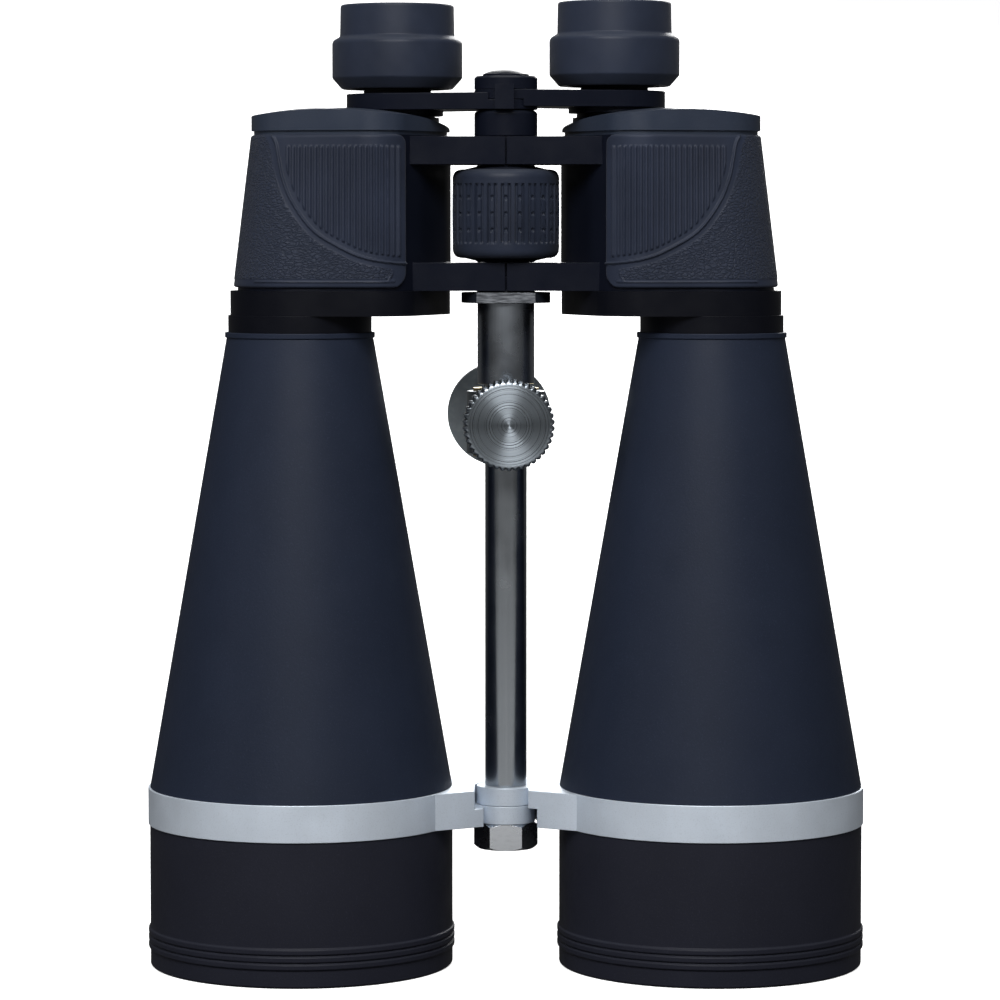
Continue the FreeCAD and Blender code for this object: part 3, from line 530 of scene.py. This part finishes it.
def resampled(walk, normals, edge, flat_x):
    """Places and normals at the columns: by x on the front and back, by length round the side."""
    far = int(np.argmax(walk[:, 0]))
    squeeze = np.clip((CORNER_REACH - flat_x) / (CORNER_REACH - flat_x[0]), 0, 1)
    xs = flat_x + (edge - flat_x[0]) * squeeze
    steps = np.arange(len(walk), dtype=float)
    front_steps = np.interp(xs, walk[:far + 1, 0], steps[:far + 1])
    back_steps = np.interp(-xs[::-1], -walk[far:, 0], steps[far:])
    length = np.concatenate(([0.0], np.cumsum(np.linalg.norm(np.diff(walk, axis=0), axis=1))))
    ends = np.interp((front_steps[-1], back_steps[0]), steps, length)
    side_steps = np.interp(np.linspace(*ends, SIDE_COLUMNS + 2)[1:-1], length, steps)
    stops = np.concatenate((front_steps, side_steps, back_steps))
    place = np.stack([np.interp(stops, steps, walk[:, k]) for k in (0, 1)], axis=1)
    normal = np.stack([np.interp(stops, steps, normals[:, k]) for k in (0, 1)], axis=1)
    return place, normal / np.linalg.norm(normal, axis=1)[:, None]


def curve_distance(x, z, knots):
    """Signed distance in mm to a smooth curve through the knots; negative on its inner side."""
    knots = np.array(knots)
    t = np.linspace(0, len(knots) - 1, 60)
    k = np.minimum(t.astype(int), len(knots) - 2)
    f = (t - k)[:, None]
    padded = np.vstack((2 * knots[0] - knots[1], knots, 2 * knots[-1] - knots[-2]))
    a, b, c, d = (padded[k + i] for i in range(4))
    curve = 0.5 * (2 * b + (c - a) * f + (2 * a - 5 * b + 4 * c - d) * f ** 2
                   + (3 * b - a - 3 * c + d) * f ** 3)
    best = np.full(x.shape, 1e9)
    for (ax, az), (bx, bz) in zip(curve[:-1], curve[1:]):
        dx, dz = bx - ax, bz - az
        along = np.clip(((x - ax) * dx + (z - az) * dz) / (dx * dx + dz * dz), 0, 1)
        gap_x, gap_z = x - ax - along * dx, z - az - along * dz
        distance = np.hypot(gap_x, gap_z) * np.where(dx * gap_z - dz * gap_x < 0, -1, 1)
        best = np.where(np.abs(distance) < np.abs(best), distance, best)
    return best


def skin_relief(x, z):
    """Height of the moulded pattern (0 to 1) and the share of leather grain, at places in mm."""
    swoosh = curve_distance(x, z, SWOOSH)
    hem = curve_distance(x, z, HEM)
    rib_number = np.clip(np.round((x - RIB_FIRST) / RIB_PITCH), 0, RIB_COUNT - 1)
    nearest_rib = RIB_FIRST + RIB_PITCH * rib_number
    ribs = 1 - ease(0.20, 0.62, np.abs(x - nearest_rib))
    ribs *= (1 - ease(RIB_TOP - 0.5, RIB_TOP, z)) * (1 - ease(-2.3, -1.8, swoosh))
    ridge = 1 - ease(0.10, 0.50, np.abs(swoosh))
    hem_ridge = 0.6 * (1 - ease(0.10, 0.50, np.abs(hem)))
    inner_end = ease(33.4, 34.6, x + 0.35 * (z - 212.0))
    leather = ease(1.6, 2.4, swoosh) * ease(0.5, 0.9, z - 209.9) * inner_end
    raised = np.maximum(np.maximum(ribs, ridge), hem_ridge * (swoosh > 0))
    pattern = GROUND + (1 - GROUND) * raised
    return np.maximum(pattern, GROUND + 0.2 * leather), leather


def armour_mesh(side):
    """Closed skin: a fine outer sheet with the moulded pattern and a plain inner sheet."""
    inner_edge = abs(armour_low.x - hinge.x)
    low, high = armour_low.z, armour_high.z
    rows = np.linspace(low, high, SKIN_ROWS)
    columns = np.arange(inner_edge, FLAT_REACH, RIB_PITCH * MM / COLUMNS_PER_RIB)
    outer, backing = [], []
    leather_share = []
    for z in rows:
        low_in = max(0.0, LOW_CORNER - (z - low))
        high_in = max(0.0, HIGH_CORNER - (high - z))
        edge = inner_edge + LOW_CORNER - math.sqrt(LOW_CORNER ** 2 - low_in ** 2)
        edge += HIGH_CORNER - math.sqrt(HIGH_CORNER ** 2 - high_in ** 2)
        walk, normals = outline_walk(z, SKIN)
        place, normal = resampled(walk, normals, edge, columns)
        pattern, leather = skin_relief(place[:, 0] / MM, np.full(len(place), z / MM))
        border = np.minimum(place[:, 0] - edge, min(z - low, high - z))
        border = np.clip(border / EDGE_WIDTH, 0, 1)
        rounding = EDGE_DROP * (1 - np.sqrt(1 - (1 - border) ** 2))
        sunk = RELIEF * (1 - pattern) + rounding
        outer.append(place - normal * sunk[:, None])
        backing.append(place - normal * (SKIN - SKIN_ALLOWANCE))
        leather_share.append(leather)
    count = len(outer[0])
    last_row, upper_edge = SKIN_ROWS - 1, SKIN_ROWS - EDGE_ROWS
    backing_rows = [*range(0, EDGE_ROWS, EDGE_STEP), *range(EDGE_ROWS, upper_edge, MIDDLE_STEP),
                    *range(upper_edge, last_row, EDGE_STEP), last_row]
    points = [(side * p[0] + hinge.x, p[1] + hinge.y, z)
              for row, z in zip(outer, rows) for p in row]
    start = len(points)
    points += [(side * p[0] + hinge.x, p[1] + hinge.y, rows[i])
               for i in backing_rows for p in backing[i]]
    faces, grained = [], []
    for i in range(len(rows) - 1):
        for j in range(count - 1):
            a = i * count + j
            faces.append((a, a + 1, a + count + 1, a + count))
            grained.append(leather_share[i][j] > 0.5)
    last = count - 1
    for k, (row, above) in enumerate(zip(backing_rows[:-1], backing_rows[1:])):
        a = start + k * count
        faces += [(a + j, a + j + count, a + j + count + 1, a + j + 1) for j in range(last)]
        near_edge = [r * count for r in range(row, above + 1)]
        far_edge = [r * count + last for r in range(above, row - 1, -1)]
        faces.append([a, *near_edge, a + count])
        faces.append([a + count + last, *far_edge, a + last])
    bottom, top = start, start + (len(backing_rows) - 1) * count
    roof = (len(rows) - 1) * count
    for j in range(count - 1):
        faces.append((bottom + j, bottom + j + 1, j + 1, j))
        faces.append((roof + j, roof + j + 1, top + j + 1, top + j))
    if side < 0:
        faces = [tuple(reversed(face)) for face in faces]
    return points, faces, grained


for name, side in SIDES:
    points, faces, grained = armour_mesh(side)
    skin = add_mesh(name + "_armour_skin", points, faces, armour_rubber, name + "_half",
                    "armour_rubber", name + "_armour")
    skin.data.materials.append(armour_leather)
    for polygon, leathery in zip(skin.data.polygons, grained):
        polygon.material_index = int(leathery)


# ---- Rubber grip of the focus wheel -------------------------------------------------------
def grip_mesh():
    """Barrel-shaped grip: wide ribs, and between them narrow ribs with three dimples each."""
    periods, per_period, rows = 24, 26, 76
    rib_height, ribbed_depth, dimple_gap = 0.85 * MM, 2.2 * MM, 4.9 * MM
    shoulder_height, shoulder_drop, crown_drop = 2.6 * MM, 2.3 * MM, 0.25 * MM
    bore, period_width = 13.3 * MM, 4.3 * MM
    low, high = wheel_low.z, wheel_high.z
    middle, radius = (low + high) / 2, (wheel_high.x - wheel_low.x) / 2

    def shape(angle, base, z):
        if base < radius - ribbed_depth:
            return base
        phase = (angle * periods / (2 * math.pi)) % 1.0
        band = 1 - smoothstep(8.6 * MM, 9.2 * MM, abs(z - middle))
        wide = 1 - smoothstep(0.13, 0.18, abs(phase - 0.5))
        across = min(phase, 1 - phase)
        narrow = 0.75 * (1 - smoothstep(0.12, 0.17, across))
        for level in (-dimple_gap, 0.0, dimple_gap):
            gap = math.hypot(across * period_width, z - middle - level)
            narrow *= smoothstep(0.35 * MM, 0.75 * MM, gap)
        return base - rib_height * band * (1 - max(wide, narrow))

    profile = []
    for i in range(rows + 1):
        z = low + (high - low) * i / rows
        edge = min(z - low, high - z)
        shoulder = 1 - min(1.0, edge / shoulder_height)
        crown = radius - crown_drop * ((z - middle) / (high - low) * 2) ** 2
        profile.append((crown - shoulder_drop * (1 - math.sqrt(1 - shoulder ** 2)), z))
    profile += [(bore, high), (bore, low)]
    return ring_mesh(profile, periods * per_period, Matrix.Translation(hinge), shape)


add_mesh("focus_grip", *grip_mesh(), wheel_rubber, "focus_wheel", "wheel_rubber",
         "focus_wheel_grip")


# ---- Core of the focus wheel ----------------------------------------------------------------
def core_mesh():
    """Hub with gently coned ends that rise from the grip to the neck."""
    core_low, core_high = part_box("focus_wheel_core")
    low, high = wheel_low.z, wheel_high.z
    bore, neck, cone, shoulder, seat = (size * MM for size in (5.1, 8.7, 9.0, 12.4, 13.25))
    profile = [(bore, core_low.z), (neck, core_low.z), (cone, low - 0.9 * MM),
               (shoulder, low - 0.1 * MM), (seat, low + 0.5 * MM),
               (seat, high - 0.5 * MM), (shoulder, high + 0.1 * MM), (cone, high + 0.9 * MM),
               (neck, core_high.z), (bore, core_high.z)]
    return ring_mesh(rounded(profile, 0.3 * MM), 96, Matrix.Translation(hinge))


add_mesh("wheel_core", *core_mesh(), hinge_paint, "focus_wheel", "housing_paint",
         "focus_wheel_core")


# ---- Eyecups ------------------------------------------------------------------------------
def eyecup_mesh(name):
    """Rubber cup: conical foot, straight skirt, sloped shoulder, straight rim and inner step."""
    low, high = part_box(name)
    centre = (low + high) / 2
    foot, flare, shoulder, neck, step, top = (
        low.z, low.z + 3.4 * MM, low.z + 14.7 * MM, low.z + 16.1 * MM, low.z + 16.0 * MM, high.z)
    skirt, rim, mouth, sleeve, foot_radius = (size * MM for size in (20.0, 17.4, 14.8, 16.6, 17.0))
    # Each corner is (radius, height) and how far from it, in mm, its easing starts.
    corners = (((sleeve, foot), 0.0), ((foot_radius, foot), 0.5), ((skirt, flare), 0.4),
               ((skirt, shoulder), 1.1), ((rim + 0.2 * MM, neck), 0.5), ((rim, top), 0.8),
               ((mouth, top), 0.9), ((mouth, step), 0.0), ((sleeve, step), 0.0))
    profile = []
    count = len(corners)
    for i, (corner, ease_by) in enumerate(corners):
        corner = Vector(corner)
        if not ease_by:
            profile.append(corner)
            continue
        back = (Vector(corners[i - 1][0]) - corner).normalized() * ease_by * MM
        ahead = (Vector(corners[(i + 1) % count][0]) - corner).normalized() * ease_by * MM
        for k in range(6):
            t = k / 5
            profile.append(corner + (1 - t) ** 2 * back + t ** 2 * ahead)
    place = Matrix.Translation((centre.x, centre.y, 0.0))
    return ring_mesh(profile, 128, place)


EYECUP_BODIES = {"left": "left_ocular", "right": "diopter_head"}
for name, _side in SIDES:
    add_mesh(name + "_cup", *eyecup_mesh(name + "_eyecup"), eyecup_rubber, EYECUP_BODIES[name],
             "eyecup_rubber", name + "_eyecup")


# ---- Clamp knob ---------------------------------------------------------------------------
KNOB_RADIUS, KNOB_FACE, KNOB_BACK = 13.8 * MM, 24.3 * MM, 14.8 * MM
KNOB_KNURLS, KNURL_ROOT, KNURL_DEPTH = 42, 12.6 * MM, 0.75 * MM
SCREW_HOLE, KNOB_CENTRE = 3.0 * MM, 0.12 * MM
knob_low, knob_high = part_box("clamp_knob")
KNOB_AXIS_HEIGHT = (knob_low.z + knob_high.z) / 2
YAW = math.radians(2.3)
KNOB_PLACE = (Matrix.Translation(hinge + Vector((0, 0, KNOB_AXIS_HEIGHT)))
              @ Matrix.Rotation(YAW, 4, "Z") @ Matrix.Rotation(math.radians(90), 4, "X"))


def knob_mesh():
    """Thick disc with scalloped rim, bevelled edges and a shallow turned face."""
    def shape(angle, radius, _height):
        if radius < KNURL_ROOT:
            return radius
        wave = abs(math.sin(angle * KNOB_KNURLS / 2))
        rise = min(1.0, (radius - KNURL_ROOT) / (0.8 * MM))
        return radius - KNURL_DEPTH * (1 - wave ** 0.75) * rise

    profile = [(SCREW_HOLE, KNOB_BACK), (11.8 * MM, KNOB_BACK),
               (KNOB_RADIUS - 0.9 * MM, KNOB_BACK + 0.3 * MM),
               (KNOB_RADIUS, KNOB_BACK + 1.1 * MM), (KNOB_RADIUS, KNOB_FACE - 1.0 * MM),
               (KNOB_RADIUS - 0.75 * MM, KNOB_FACE - 0.25 * MM), (12.7 * MM, KNOB_FACE - 0.02 * MM),
               (12.2 * MM, KNOB_FACE), (7.0 * MM, KNOB_FACE - 0.05 * MM),
               (0.9 * MM, KNOB_FACE - 0.09 * MM), (KNOB_CENTRE, KNOB_FACE - 0.14 * MM),
               (KNOB_CENTRE, KNOB_FACE - 0.17 * MM), (SCREW_HOLE, KNOB_FACE - 0.17 * MM)]
    return ring_mesh(profile, KNOB_KNURLS * 12, KNOB_PLACE, shape)


knob_centre = KNOB_PLACE @ Vector((0, 0, KNOB_FACE))
knob_axis = (KNOB_PLACE.to_3x3() @ Vector((0, 0, 1))).normalized()
knob_metal = turned_metal("knob_metal", (0.34, 0.38, 0.42), 0.30, knob_centre, knob_axis, 2400.0)
add_mesh("knob", *knob_mesh(), knob_metal, "clamp", "knob_metal", "clamp_knob")


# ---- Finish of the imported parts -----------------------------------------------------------
def finish_all():
    """Material and edge rounding, in mm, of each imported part."""
    each_side = {
        "objective_cell": (cell_paint, 0.25), "crown_lens": (coated_glass, 0),
        "flint_lens": (coated_glass, 0), "lens_retainer": (inner_black, 0.15),
        "objective_tube": (barrel_paint, 0.25), "brace_arm": (brace_metal, 0.2),
        "prism_housing": (hinge_paint, 0.35), "lower_plate": (housing_paint, 0.4),
        "prism_shelf": (inner_black, 0), "upper_prism": (prism_glass, 0),
        "lower_prism": (prism_glass, 0), "prism_straps": (spring_steel, 0),
        "top_cover": (cover_paint, 0.35), "eyepiece_arm": (hinge_paint, 0.3),
        "eyepiece_barrel": (hinge_paint, 0.2), "lens_cell": (inner_black, 0.1),
        "field_lens": (coated_glass, 0), "eye_lens": (coated_glass, 0),
        "head_ring": (housing_paint, 0.2)}
    centre = {
        "support_rod": (rod_metal, 0.2), "brace_nut": (nut_metal, 0.2),
        "hinge_axle": (sleeve_metal, 0), "hinge_sleeve": (sleeve_metal, 0.2),
        "flange_nut": (nut_black, 0.2), "hinge_collar": (hinge_paint, 0.3),
        "focus_spindle": (sleeve_metal, 0), "drive_pin": (sleeve_metal, 0),
        "bridge_cap": (hinge_paint, 0.25), "carriage_bush": (bush_brass, 0),
        "carriage_block": (foot_metal, 0.3), "tripod_post": (foot_metal, 0.3),
        "tripod_foot": (foot_metal, 0.3), "clamp_screw": (knob_metal, 0.1)}
    for part, (material, edge) in each_side.items():
        for name, _side in SIDES:
            finish_node(name + "_" + part, material, edge * MM)
    for part, (material, edge) in centre.items():
        finish_node(part, material, edge * MM)


finish_all()


# ---- Studio -------------------------------------------------------------------------------
def studio_floor():
    """Pale sweep: a flat floor that curves up behind the object."""
    half_width, front, back, wall, bend = 3.0, -3.0, 1.1, 2.2, 0.9
    section = [(front, 0.0)]
    for i in range(25):
        angle = math.pi / 2 * i / 24
        section.append((back + bend * math.sin(angle), bend * (1 - math.cos(angle))))
    section.append((back + bend, wall))
    points, faces = [], []
    for y, z in section:
        points += [(-half_width, y, z), (half_width, y, z)]
    for i in range(len(section) - 1):
        a = 2 * i
        faces.append((a, a + 1, a + 3, a + 2))
    mesh = bpy.data.meshes.new("studio_floor")
    mesh.from_pydata(points, [], faces)
    mesh.polygons.foreach_set("use_smooth", [True] * len(mesh.polygons))
    made = Surface("studio_paper")
    made.set(Roughness=0.9, Specular_IOR_Level=0.1, Emission_Strength=0.7,
             Emission_Color=(1, 1, 1, 1))
    made.colour(made.ramp(made.noise(3.0), (0.3, (0.93, 0.93, 0.93)), (0.7, (0.95, 0.95, 0.95))))
    mesh.materials.append(made.material)
    obj = bpy.data.objects.new("studio_floor", mesh)
    obj.visible_glossy = False
    obj.visible_diffuse = False
    bpy.context.scene.collection.objects.link(obj)


def area_light(name, place, target, size, power):
    light = bpy.data.lights.new(name, "AREA")
    light.shape = "RECTANGLE"
    light.size, light.size_y = size
    light.energy = power
    obj = bpy.data.objects.new(name, light)
    obj.location = place
    obj.rotation_euler = (Vector(target) - Vector(place)).to_track_quat("-Z", "Y").to_euler()
    bpy.context.scene.collection.objects.link(obj)
    return obj


def studio_world():
    """Dim grey for lighting and reflections, white where the camera looks past the sweep."""
    world = bpy.data.worlds.new("studio")
    bpy.context.scene.world = world
    world.use_nodes = True
    tree = world.node_tree
    tree.nodes.clear()
    path = tree.nodes.new("ShaderNodeLightPath")
    strength = tree.nodes.new("ShaderNodeMapRange")
    strength.inputs["To Min"].default_value = 0.1
    strength.inputs["To Max"].default_value = 1.0
    background = tree.nodes.new("ShaderNodeBackground")
    output = tree.nodes.new("ShaderNodeOutputWorld")
    tree.links.new(path.outputs["Is Camera Ray"], strength.inputs["Value"])
    tree.links.new(strength.outputs["Result"], background.inputs["Strength"])
    tree.links.new(background.outputs[0], output.inputs["Surface"])


CAMERA_SIDE, CAMERA_DISTANCE, CAMERA_HEIGHT = -0.0018, 1.257, 0.227
CAMERA_PITCH, CAMERA_LENS, CAMERA_SENSOR = 3.83, 148.0, 36.0


def camera():
    """Long lens from the front, a little above the prism housings and looking slightly down."""
    data = bpy.data.cameras.new("camera")
    data.sensor_width = CAMERA_SENSOR
    data.lens = CAMERA_LENS
    obj = bpy.data.objects.new("camera", data)
    obj.location = (CAMERA_SIDE, hinge.y - CAMERA_DISTANCE, CAMERA_HEIGHT)
    obj.rotation_euler = (math.radians(90 - CAMERA_PITCH), 0.0, 0.0)
    bpy.context.scene.collection.objects.link(obj)
    bpy.context.scene.camera = obj


studio_floor()
studio_world()
middle = (0.0, 0.0, 0.15)
area_light("front", (-0.08, -0.85, 0.85), middle, (0.7, 0.45), 13.0)
for side_light in (area_light("left", (-1.2, -0.6, 0.3), middle, (0.3, 0.8), 4.5),
                   area_light("right", (1.2, -0.6, 0.3), middle, (0.3, 0.8), 3.0)):
    side_light.visible_glossy = False
area_light("top", (0.0, 0.1, 1.4), middle, (1.0, 0.8), 6.0)
area_light("rear", (0.3, 1.6, 0.9), middle, (0.9, 0.7), 18.0)
table = area_light("table", (0.0, -0.68, 0.0), (0.0, -0.68, 1.0), (1.6, 1.06), 2.6)
table.visible_diffuse = False
camera()
bpy.context.scene.view_settings.view_transform = "Standard"
